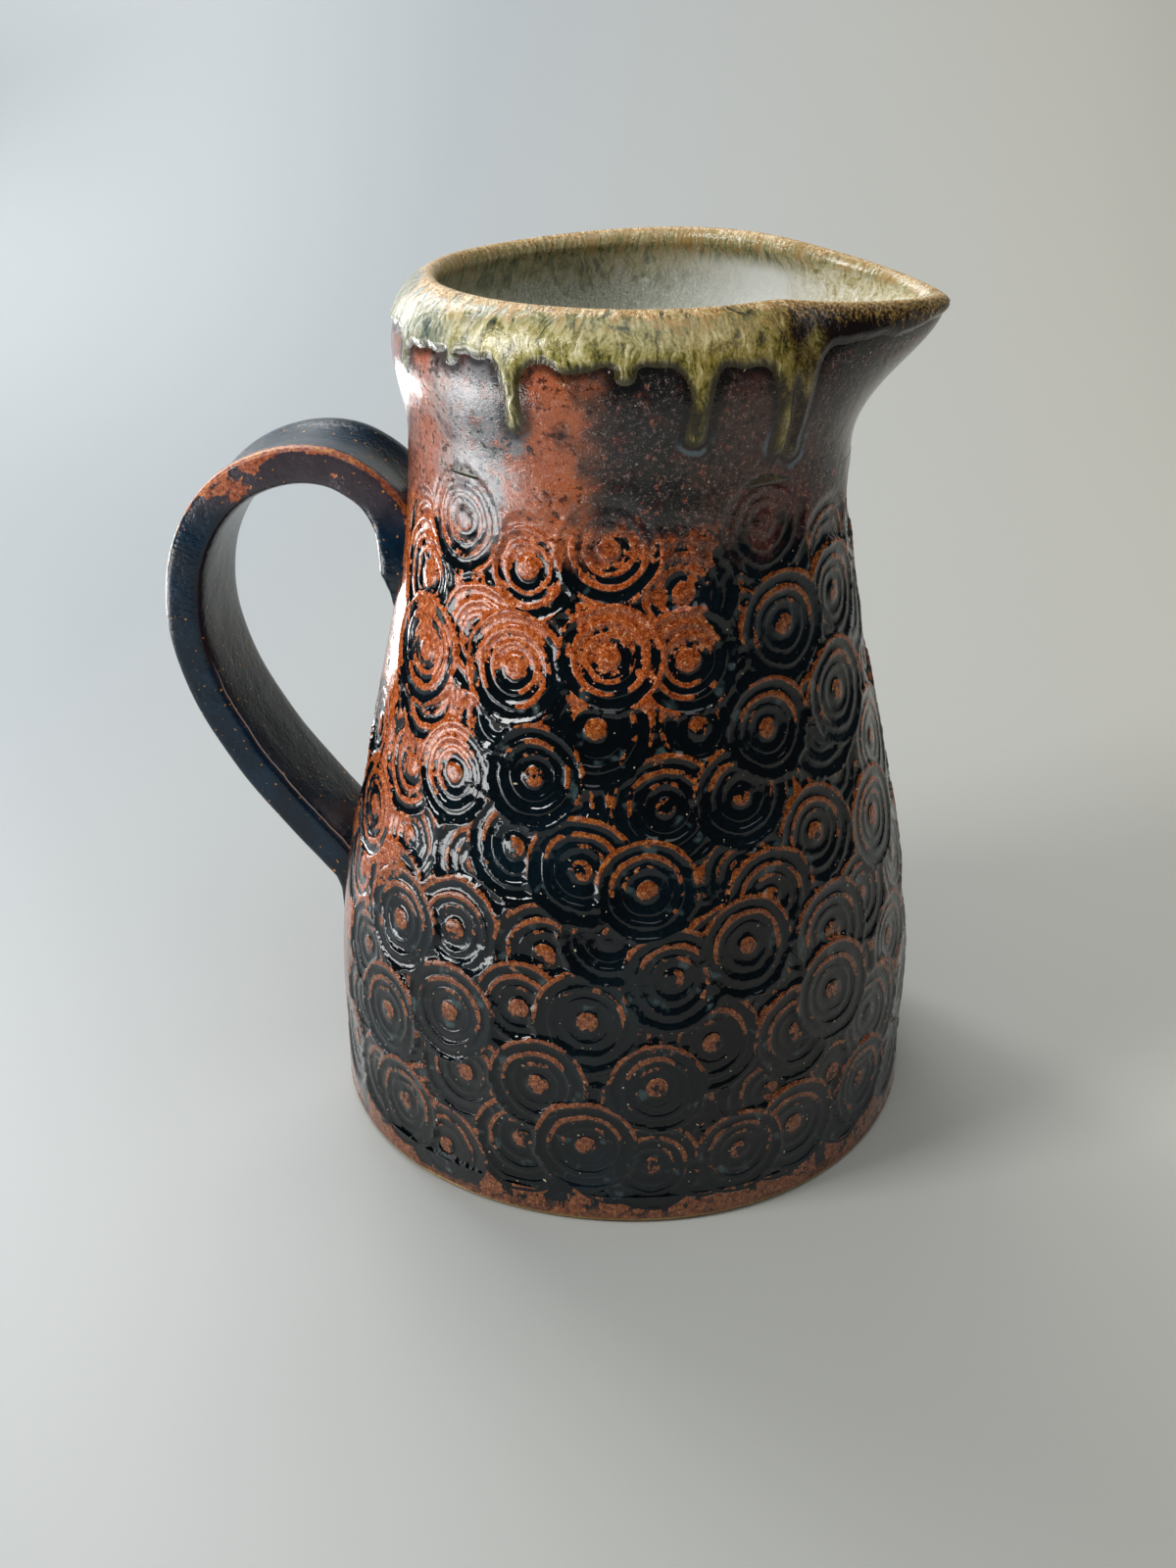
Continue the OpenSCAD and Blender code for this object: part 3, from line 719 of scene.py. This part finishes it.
bare_clay, clay_tree, clay_shader, clay_place = new_finish("bare_sandy_clay")
grit = grain(clay_tree, clay_place.point, 0.7, detail=3.0, roughness=0.7)
stain = grain(clay_tree, clay_place.point, 14.0, detail=2.0)
sandy_clay = tints(clay_tree, grit * 0.7 + stain * 0.3, [
    (0.3, "7a5434"), (0.45, "b08a56"), (0.58, "c9a872"), (0.75, "ddc79a")])
dress(clay_tree, clay_shader, sandy_clay, 0.85, grit * 0.35)
foot_mesh = mesh_from_grid("foot_slab", foot_grid, round_section=False)
foot = add_piece("foot_slab", foot_mesh, bare_clay)
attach(foot, "root")
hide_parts("base_slab")


# The neck: a collar of the same clay laid on the wall, rolled in at the rim and drawn out by
# hand into the pouring spout. It carries the dark glaze of the wall.
rim_top_z = 200.0
rim_height = rim_top_z - shoulder_z
mouth_radius = 42.4
wall_thickness = 6.0
lip_thickness = 3.0
rim_lift = 2.5
rim_lift_angle = 60.0
spout_reach = 67.0
spout_tip_z = 195.8
throat_angle = 41.0
spout_side = throat_angle + 5
bend_share = 0.05
full_share = 0.06
roll_angle = 74.0
sweep_share = 1.25
collar_share = 6
section_share = 12


def drawn(angles):
    """How far the rim is drawn out to the spout: 0 on the round rim and 1 at the tip."""
    def turned(angle):
        h = np.abs(angle) / throat_angle
        return ((np.sqrt(h * h + bend_share ** 2) - bend_share)
                / (math.sqrt(1 + bend_share ** 2) - bend_share))

    def pulled(angle):
        x = 1 - turned(angle)
        return (x + np.sqrt(x * x + bend_share ** 2)) / 2

    a = (np.asarray(angles, dtype=float) + 180) % 360 - 180
    inner = ((pulled(a) - pulled(spout_side) * (a / spout_side) ** 2) / pulled(0.0)
             + full_share * np.maximum(0, np.sin(np.radians(180 * a / spout_side))))
    return np.where(np.abs(a) >= spout_side, 0, inner)


def rim_rise(angles):
    return rim_lift * np.maximum(0, np.cos(np.radians(angles - rim_lift_angle))) ** 2


def spout_middle(s):
    s = np.clip(s, 0, 1)
    return (blend(waist_radius, spout_reach, smooth(s ** sweep_share)),
            blend(collar_foot_z, spout_tip_z, s))


def neck_face(i, angles, inner):
    """Radius and height of the neck's outer or inner face, from its foot, i = 0, to the lip, 12."""
    a = np.asarray(angles, dtype=float)[:, None]
    i = np.asarray(i, dtype=float)[None, :]
    w = drawn(a)
    low_z = blend(collar_foot_z, shoulder_z, np.minimum(i, collar_share) / collar_share)
    low_r = wall_radius(low_z) - (wall_thickness if inner else 0)
    s = np.clip((i - collar_share) / (section_share - collar_share), 0, 1)
    if inner:
        high_r = blend(shoulder_radius - wall_thickness, mouth_radius, s * s)
        high_z = blend(shoulder_z, rim_top_z - lip_thickness / 2, s)
    else:
        high_r = blend(mouth_radius, shoulder_radius, np.cos(np.radians(roll_angle * s)))
        high_z = shoulder_z + rim_height * np.sin(np.radians(roll_angle * s))
    is_low = i <= collar_share
    r = np.where(is_low, low_r, high_r) + 0 * a
    z = np.where(is_low, low_z, high_z) + 0 * a
    lifted = shoulder_z + (z - shoulder_z) * (rim_height + rim_rise(a)) / rim_height
    z = np.where(z > shoulder_z, lifted, z)
    along = i / section_share
    spout_r, spout_z = spout_middle(along)
    if inner:
        step = 0.01
        r0, z0 = spout_middle(along - step)
        r1, z1 = spout_middle(along + step)
        length = np.hypot(r1 - r0, z1 - z0)
        depth = blend(wall_thickness, lip_thickness, along)
        spout_r = spout_r - depth * (z1 - z0) / length
        spout_z = spout_z + depth * (r1 - r0) / length
    return blend(r, spout_r, w), blend(z, spout_z, w)


def lip_crown(angles):
    """Radius and height of the middle of the lip."""
    a = np.asarray(angles, dtype=float)[:, None]
    w = drawn(a)
    round_z = rim_top_z + rim_rise(a)
    tip_r, tip_z = spout_middle(1.0)
    return (blend(mouth_radius + lip_thickness / 3, tip_r - lip_thickness / 2, w),
            blend(round_z, tip_z + lip_thickness / 4, w))


# Where the ash glaze lies over the neck: down to a ragged edge, and in tears that ran below it.
# A tear is given by its angle, the height of its tip and half its width.
ash_edge_z = 191.6
tears = [(-110, 178.0, 2.2), (-68, 176.2, 2.4), (-46.3, 172.4, 2.5), (-41.5, 170.8, 2.8),
         (-84, 189.0, 2.5), (-127, 189.5, 2.5), (-146, 184.5, 2.4),
         (72, 180.0, 2.6), (118, 177.0, 2.8), (160, 182.0, 2.4)]
tip_edge_share = 0.93
tear_root_z = 193.0
tear_arc_radius = 51.0
tear_reach = 3.0


def ash_cover(angles, r, z, i):
    """How far a point lies inside the edge of the rim glaze, in mm."""
    a = np.asarray(angles, dtype=float)[:, None]
    arc = np.radians(a)
    ragged = (1.1 * np.sin(9 * arc + 0.6) + 0.8 * np.sin(17 * arc + 2.1) + 0.5 * np.sin(31 * arc)
              + 0.3 * np.sin(53 * arc + 1.3))
    edge_z = ash_edge_z + 0.6 * ragged
    edge_roll = np.degrees(np.arcsin((edge_z - shoulder_z) / rim_height))
    low_i = collar_share * (1 + edge_roll / roll_angle)
    edge_i = blend(low_i, section_share * tip_edge_share + ragged * 0.15, drawn(a))
    cover = (i - edge_i) * (shoulder_z - collar_foot_z) / collar_share
    for turn, tip_z, half in tears:
        across = ((a - turn + 180) % 360 - 180) * np.pi / 180 * tear_arc_radius
        down = np.clip((tear_root_z - z) / (tear_root_z - tip_z), 0, 1)
        width = half * (0.62 + 2.2 * (1 - down) ** 5 + 0.2 * down ** 3)
        beyond = np.maximum(0, tip_z + width * 0.8 - z)
        reach = width - np.hypot(across + 0.4 * np.sin(z / 3.1 + turn), beyond)
        reach = np.minimum(reach, tear_reach)
        cover = np.logaddexp(np.clip(cover, -30, 30) * 2, np.clip(reach, -30, 30) * 2) / 2
    return cover


# Columns stand closer together along the spout, where the rim is longer
neck_columns = 480
even_turn = np.arange(neck_columns) / neck_columns
crowding = 14.0
neck_angles = 360 * even_turn - crowding * np.sin(2 * np.pi * even_turn)
neck_end_i = 11.6
collar_i = np.linspace(0, neck_end_i, 49)
hidden_i = np.linspace(neck_end_i, 0, 6)
outer_r, outer_z = neck_face(collar_i, neck_angles, False)
back_r, back_z = neck_face(hidden_i, neck_angles, False)
neck_inset = 1.5
neck_grid = turned_about_axis(
    np.hstack([outer_r, back_r - neck_inset]), np.hstack([outer_z, back_z]), neck_angles)
neck_base = mesh_from_grid("neck_and_spout", neck_grid)
outer_rows = len(collar_i)
neck_rows = outer_rows + len(hidden_i)
note(neck_base, "outside", np.tile(np.arange(neck_rows) < outer_rows, neck_columns))
neck_cover = np.full((neck_columns, neck_rows), no_ash)
neck_cover[:, :outer_rows] = ash_cover(neck_angles, outer_r, outer_z, collar_i)
note(neck_base, "ash_cover", neck_cover)
neck = stamped("neck_and_spout", neck_base, wall_glaze)
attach(neck, "root")
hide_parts("neck_collar", "spout")


# The rim glaze: a thick ash glaze over the rolled rim and the spout, inside and out. Its lower
# edge is ragged and it has run down the neck in tears.
ash_thickness = 0.9
edge_sink = 0.35
ash_back_depth = 1.0
ash_end_i = 25.2
bend_points = 7
outer_i = np.linspace(0.4, section_share, 66)
inner_i = np.linspace(section_share, 0.6, 50)
face_r, face_z = neck_face(outer_i, neck_angles, False)
mouth_r, mouth_z = neck_face(inner_i, neck_angles, True)
crown_r, crown_z = lip_crown(neck_angles)


def rounded(first, middle, last):
    """Points on a round bend from one edge of the lip over its crown to the other."""
    t = np.linspace(0, 1, bend_points + 2)[1:-1][None, :]
    control = 2 * middle - (first + last) / 2
    return (1 - t) ** 2 * first + 2 * t * (1 - t) * control + t ** 2 * last


bend_r = rounded(face_r[:, -1:], crown_r, mouth_r[:, :1])
bend_z = rounded(face_z[:, -1:], crown_z, mouth_z[:, :1])
path_r = np.hstack([face_r, bend_r, mouth_r])
path_z = np.hstack([face_z, bend_z, mouth_z])
# The place along the path runs to 12 outside, from 12 to 13 over the lip, and on inside
path_i = np.concatenate([outer_i, np.linspace(12, 13, bend_points), 13 + (12 - inner_i)])[None, :]
slope_r, slope_z = np.gradient(path_r, axis=1), np.gradient(path_z, axis=1)
slope = np.hypot(slope_r, slope_z)
cover = ash_cover(neck_angles, path_r, path_z, path_i)
inner_fade = smooth((ash_end_i - path_i) / 3)
film = ash_thickness * smooth(cover / 2.4 + 0.1) * inner_fade + 0.1
lift = film * (cover > -3) - edge_sink * smooth(-cover / 1.2) - 0.2 * (1 - inner_fade)
ash_r = path_r + lift * slope_z / slope
ash_z = path_z - lift * slope_r / slope
# The side that lies on the clay is hidden, and every sixth point of the path is enough for it
back = slice(None, None, -6)
ash_back_r = (path_r - ash_back_depth * slope_z / slope)[:, back]
ash_back_z = (path_z + ash_back_depth * slope_r / slope)[:, back]
ash_grid = turned_about_axis(
    np.hstack([ash_r, ash_back_r]), np.hstack([ash_z, ash_back_z]), neck_angles)
ash_mesh = mesh_from_grid("rim_glaze", ash_grid)
pad = np.zeros(ash_back_r.shape)
note(ash_mesh, "cover", np.hstack([cover, pad]))
note(ash_mesh, "along", np.hstack([np.broadcast_to(path_i, path_r.shape), pad]))

ash_finish, tree, shader, place = new_finish("ash_glaze")
cover_measure = Measure(tree, kept(tree, "cover").outputs["Fac"])
along = Measure(tree, kept(tree, "along").outputs["Fac"])
turn = place.angle
warp = grain(tree, place.point, 6.0, detail=2.0) - 0.5
across_flow = turn * arc_radius + warp * 5
down_flow = along * 3.1 + warp * 4
fibres = grain(tree, vector_of(tree, across_flow, down_flow * 0.22, 0), 1.1, detail=4.0,
               roughness=0.6, warp=0.5)
marbling = grain(tree, vector_of(tree, across_flow, down_flow * 0.45, 7), 4.5, detail=4.0,
                 roughness=0.62, warp=1.2)
mottle = grain(tree, place.point, 0.6, detail=2.0, roughness=0.6)
tone = fibres * 0.42 + marbling * 0.5 + mottle * 0.16
olive = tints(tree, tone, [
    (0.40, "14201e"), (0.45, "3c3d1e"), (0.50, "7a7236"), (0.55, "a1965a"), (0.60, "bdb483"),
    (0.68, "ddd8b4")])
milky = tints(tree, tone, [
    (0.40, "3f4e49"), (0.47, "6f786c"), (0.53, "8e907c"), (0.62, "b8b39e")])
golden = tints(tree, tone, [
    (0.40, "17180c"), (0.46, "453c14"), (0.52, "7c6a24"), (0.60, "ab9448"), (0.68, "d2c284")])
sandy = tints(tree, mottle * 0.6 + fibres * 0.4, [
    (0.36, "7a4f1e"), (0.44, "b08444"), (0.52, "ccaa70"), (0.62, "e8d6b0")])
slate = tints(tree, fibres * 0.4 + mottle * 0.6, [
    (0.36, "6c736f"), (0.48, "979d96"), (0.56, "b4b7ad"), (0.68, "d2d3c8")])
cream = tints(tree, fibres * 0.7 + mottle * 0.3, [
    (0.36, "8d7a4a"), (0.46, "c3b688"), (0.56, "dcd6bc"), (0.68, "efece0")])
amber = tints(tree, mottle, [(0.42, "1c0f08"), (0.5, "5a3a12"), (0.62, "b08a42")])
from_spout = turn.positive()
left_side = (turn + 2.6 + warp * 1.6).positive().rise(0.75, 0.25)
right_side = (turn + 0.85 + warp * 1.2).positive().rise(0.6, 0.3)
# Painted light: on the spout side the inner wall is painted near white, a painted pool of the
# window's light.
painted_light_inner_side = from_spout.rise(1.7, 0.8) * along.rise(13.6, 15.5)
high_side = (along + warp * 3).rise(9.5, 11.5)
gold = (along + (mottle - 0.5) * 4).rise(9.5, 11.2) * marbling.rise(0.50, 0.58)
lip = (along + (marbling - 0.5) * 3 - 12.3).positive().rise(0.8, 0.1)
inside = (along + (marbling - 0.5) * 9).rise(14.6, 18.5)
in_spout = (from_spout + warp * 0.3).rise(0.85, 0.45) * along.rise(12.8, 13.6)
under_spout = (from_spout + warp * 0.5).rise(0.86, 0.62) * along.rise(12.4, 11.8)
rim_edge = (cover_measure + (fibres - 0.5) * 3).rise(1.9, 0.3)
spout_edge = (along + (fibres - 0.5) * 6).rise(11.6, 10.6)
# Over the olive go the glaze's own colours and, on the inner wall by the spout, a painted pool of
# window light.
ash_colour = layered(tree, olive, [
    (milky, (left_side * 0.85).most(high_side * 0.35)), (golden, right_side * 0.7),
    ("9c6e2a", gold * 0.6), (sandy, lip * 0.9), (slate, inside),
    ("c9c8ae", along.rise(13.2, 14.5) * 0.3), ("f4f5ef", painted_light_inner_side * 0.95),
    (cream, in_spout * 0.85), ("2a220c", rim_edge * along.rise(12.2, 11) * 0.9),
    (amber, under_spout * 0.9), ("1a100e", under_spout * spout_edge)])
ash_matt = (mottle - 0.5) * 0.2 + lip * 0.15 + inside * 0.08 + 0.07
ash_skin = fibres * 0.16 + marbling * 0.3 + mottle * (lip * 0.3 + 0.07)
dress(tree, shader, ash_colour, ash_matt, ash_skin)
ash = add_piece("ash_rim_glaze", ash_mesh, ash_finish)
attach(ash, "root")
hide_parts("rim_glaze")


# The liner: a slate-grey glaze poured round the inside before firing, over the floor, the coil in
# its corner and the inner wall.
liner_angles = np.arange(0, 360, 1.5)
liner_film = 0.4
finger_ridge = 0.25
floor_z = 7.5
corner_size = 7.0
corner_rise = 7.5
floor_points = [0.5, 15, 35, 50]
liner_levels = np.linspace(floor_z + corner_rise, 176, 60)
corner = np.radians(np.linspace(0, 90, 8))[:-1]
inner_wall = wall_radius(liner_levels) - wall_thickness - 0.5
corner_r = inner_wall[0] - corner_size + corner_size * np.sin(corner)
corner_z = floor_z + corner_rise - corner_rise * np.cos(corner)
liner_r = np.concatenate([floor_points, corner_r, inner_wall])
liner_z = np.concatenate([[floor_z] * len(floor_points), corner_z, liner_levels])
throw = finger_ridge * np.sin(liner_z / 4.2) * (liner_r > 50)
full_r = np.concatenate([liner_r + throw, (liner_r + liner_film)[::-1]])
full_z = np.concatenate([liner_z, (liner_z - liner_film * (liner_r < 60))[::-1]])
liner_mesh = mesh_from_grid(
    "liner", turned_about_axis(full_r[::-1], full_z[::-1], liner_angles))
liner_finish, tree, shader, place = new_finish("slate_liner_glaze")
flow = vector_of(tree, place.x, place.y, place.z * 0.2)
streaks = grain(tree, flow, 1.6, detail=4.0, roughness=0.6)
mottle = grain(tree, place.point, 0.8, detail=2.0)
liner_tint = tints(tree, streaks * 0.5 + mottle * 0.5, [
    (0.3, "4d534c"), (0.5, "767b70"), (0.7, "a3a694")])
dress(tree, shader, liner_tint, 0.25, streaks * 0.1 + mottle * 0.08)
liner = add_piece("liner_glaze_inside", liner_mesh, liner_finish)
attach(liner, "root")
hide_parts("liner_glaze")


# The handle: a pulled strap of clay with a trough down its back, in the same dark glaze. It is
# worked onto the wall under the neck and thumbed down onto it again near the foot.
strap_width = 28.0
strap_thickness = 9.8
trough = 1.6
finger_gap = 43.4
root_z = 136.0
out_z = 121.0
low_z = 58.0
rise_height = 22.2
tail_length = 19.0
lean = math.radians(38)
press_in = 2.0
smear_length = 13.0
end_sink = 0.3


def at_wall(z, out=0.0):
    return np.array([float(wall_radius(z)) + out, z])


root = at_wall(root_z, -press_in)
outmost = at_wall(out_z, finger_gap + strap_thickness / 2)
top = np.array([blend(root[0], outmost[0], 0.4), root_z + rise_height])
low = at_wall(low_z, press_in / 2)
tail = at_wall(low_z - tail_length, -strap_thickness * end_sink)
smear = at_wall(root_z - smear_length, -strap_thickness * end_sink)
lean_way = np.array([math.sin(lean), math.cos(lean)])
strap_curves = [
    [smear, smear + [0, smear_length / 3], root - [0, smear_length / 3], root],
    [root, root + [0, 0.62 * rise_height], top - [0.5 * (top[0] - root[0]), 0], top],
    [top, top + [0.55 * (outmost[0] - top[0]), 0],
     outmost + [0, 0.6 * (top[1] - outmost[1])], outmost],
    [outmost, outmost - [0, 0.42 * (outmost[1] - low[1])],
     low + 0.27 * np.linalg.norm(outmost - low) * lean_way, low],
    [low, low - 0.4 * tail_length * lean_way, tail + [0, 0.4 * tail_length], tail]]
curve_steps = [20, 46, 44, 70, 26]


def bezier(p, t):
    """Points along a curve with four control points, and the way it runs at each."""
    t = t[:, None]
    middle = ((1 - t) ** 3 * p[0] + 3 * t * (1 - t) ** 2 * p[1]
              + 3 * t * t * (1 - t) * p[2] + t ** 3 * p[3])
    way = (1 - t) ** 2 * (p[1] - p[0]) + 2 * t * (1 - t) * (p[2] - p[1]) + t * t * (p[3] - p[2])
    return middle, way / np.linalg.norm(way, axis=1, keepdims=True)


shares = [np.linspace(0, 1, n, endpoint=k == 4) for k, n in enumerate(curve_steps)]
lengths = [bezier(p, t) for p, t in zip(strap_curves, shares)]
middle = np.vstack([m for m, w in lengths])
way = np.vstack([w for m, w in lengths])
steps = np.concatenate([k + t for k, t in enumerate(shares)])
root_share = smooth(1 - (steps - 1) / 0.5)
smear_share = smooth(steps)
tail_share = np.clip(steps - 4, 0, 1)
width = strap_width * blend(0.85, 1, smear_share) * (1 + 0.2 * root_share * smear_share)
width *= blend(1, 0.8, tail_share)
thick = strap_thickness * blend(0.35, 1, smear_share) * (1 + 0.2 * root_share * smear_share)
thick *= blend(1, 0.5, tail_share)
groove = trough * (1 - root_share) * blend(1, -1, tail_share)
around = 2 * np.pi * np.linspace(0, 1, 96, endpoint=False)
squareness = 8.0
inner_curl = 0.07


def strap_section(w, t, g):
    """Points round the strap: across, then out, with a trough on its outer face."""
    c, s = np.cos(around), np.sin(around)
    across = w / 2 * np.sign(c) * np.abs(c) ** (2 / squareness)
    out = t / 2 * np.sign(s) * np.abs(s) ** (2 / squareness)
    x = np.clip(across / (w / 2), -1, 1)
    out = out - np.where(out > 0, g * (1 + np.cos(np.pi * x)) / 2, 0)
    out = out + np.where(out < 0, inner_curl * t * x * x, 0)
    return across, out


rings = []
for k in range(len(middle)):
    across, out = strap_section(width[k], thick[k], groove[k])
    wobble = 0.35 * math.sin(steps[k] * 9.0) + 0.2 * math.sin(steps[k] * 23.0 + 1)
    s = middle[k, 0] - out * way[k, 1]
    z = middle[k, 1] + out * way[k, 0]
    rings.append(np.column_stack([-s, -(across + wobble * 0.5), z]))
rings = np.array(rings)
strap_mesh = mesh_from_grid("strap_handle", rings, round_rows=False)
note(strap_mesh, "across", np.tile(np.cos(around), len(middle)))
note(strap_mesh, "outward", np.tile(np.sin(around), len(middle)))
strap_finish, tree, shader, place = new_finish("iron_glaze_on_strap")
across = Measure(tree, kept(tree, "across").outputs["Fac"])
outward = Measure(tree, kept(tree, "outward").outputs["Fac"])
patches = grain(tree, place.point, 9.0, detail=3.0)
fine = grain(tree, place.point, 1.1, detail=3.0, roughness=0.6)
dust = grain(tree, place.point, 0.35, detail=1.0)
edge = (across * outward).positive().rise(0.30, 0.5)
near_top = (place.z + (patches - 0.5) * 14).rise(143, 153) * across.rise(0.3, 0.6)
hot = near_top * (outward + (patches - 0.5) * 2.2).rise(-0.1, 0.5)
rust = (hot * 0.75 + (patches - 0.5) * 1.2 + edge * 0.2 + (fine - 0.5) * 1.1).rise(0.45, 0.6)
dark = tints(tree, patches * 0.7 + fine * 0.3, [
    (0.3, "020b14"), (0.5, "041a2a"), (0.7, "0a2a3e")])
rust_colour = tints(tree, fine + (dust - 0.5) * 0.5, [
    (0.2, "3c1c10"), (0.45, "8a4226"), (0.6, "a85c38"), (0.8, "c48a58")])
specks = grain(tree, place.point, 1.0, detail=0.0).rise(0.76, 0.82)
outer_edge = (across - outward).positive().rise(0.5, 0.1) * across.rise(0.0, 0.1)
specks = specks.most(outer_edge * (fine + (patches - 0.5) * 0.6).rise(0.50, 0.57))
# A thin pale line along the inner corner: a painted highlight
line = (across + outward + (patches - 0.5) * 0.6).positive().rise(0.10, 0.04)
line = line * across.rise(0.0, 0.1) * place.z.rise(52, 60) * place.z.rise(112, 100)
strap_colour = layered(tree, dark, [
    ("453c40", near_top * 0.8), (rust_colour, rust), ("b07a34", specks), ("c2bcb0", line * 0.8)])
strap_matt = rust * 0.2 + (dust - 0.5) * 0.1 + 0.18
dress(tree, shader, strap_colour, strap_matt, fine * 0.12 + patches * 0.4 + dust * 0.03)
strap = add_piece("strap_handle", strap_mesh, strap_finish)
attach(strap, "root")
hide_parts("handle_strap", "handle_upper_joint", "handle_lower_joint")


# Under the glazes: the rolled rim and the coil in the foot's corner are bare clay, covered.
for name in ("rolled_rim", "seam_coil"):
    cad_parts[name].data.materials.clear()
    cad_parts[name].data.materials.append(bare_clay)

bpy.data.objects.remove(press_places)
